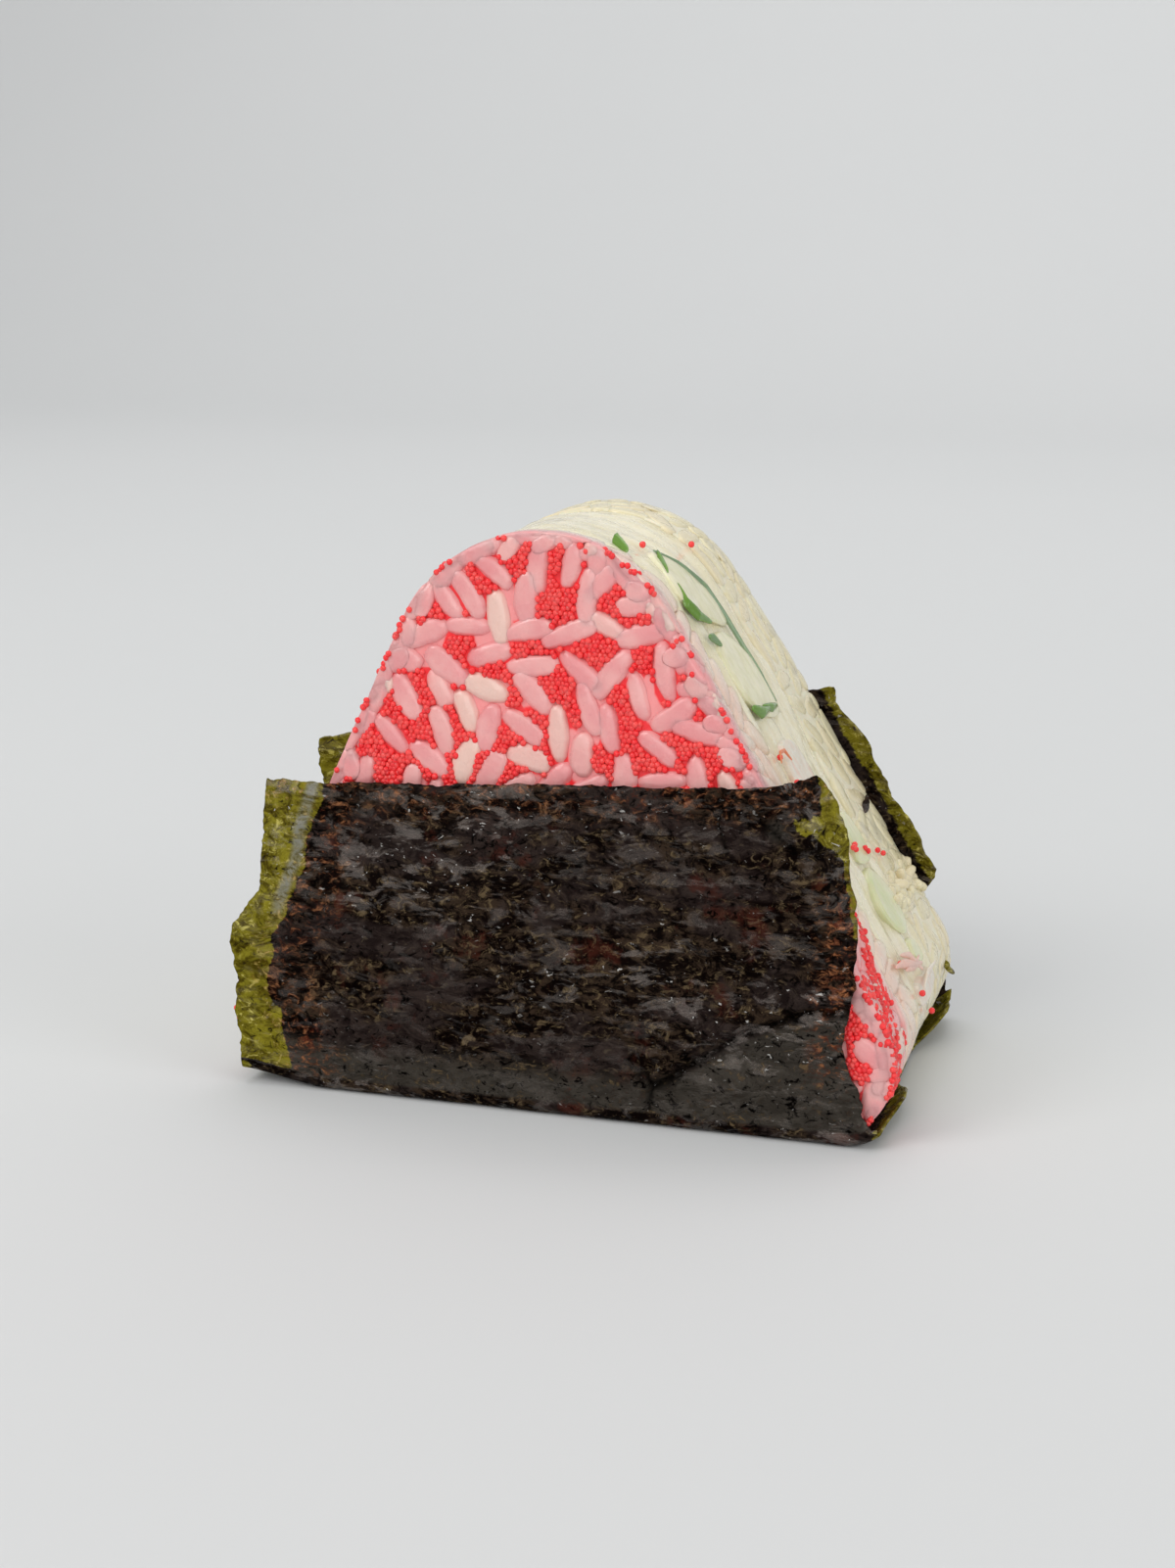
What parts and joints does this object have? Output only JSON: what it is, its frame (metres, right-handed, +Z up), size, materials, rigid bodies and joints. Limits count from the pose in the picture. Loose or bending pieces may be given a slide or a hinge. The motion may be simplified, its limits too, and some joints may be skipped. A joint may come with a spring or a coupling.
{
  "type": "onigiri",
  "caption": "Triangular block of pressed rice split by a filling of cream, cucumber and crab sticks, with a pink roe face and a loose, skewed band of nori round its foot.",
  "frame": {"origin": "on the floor, on the flat underside of the nori, under the middle of the rice block's base", "axes": "+Z up, -Y towards the pink face, +X along the wide face to its right"},
  "size_m": [0.0908, 0.0514, 0.0718],
  "materials": {
    "pink_rice": "moist",
    "white_rice": "moist",
    "cream": "soft gloss",
    "cucumber": "wet cut face",
    "crab": "moist fibres",
    "nori": "satin"
  },
  "bodies": {
    "root": {"rice_front": "pink_rice", "rice_back": "white_rice", "cream": "cream", "cucumber_1": "cucumber", "cucumber_2": "cucumber", "cucumber_3": "cucumber", "cucumber_4": "cucumber", "cucumber_5": "cucumber", "crab_1": "crab", "crab_2": "crab", "nori": "nori"}
  },
  "joints": []
}
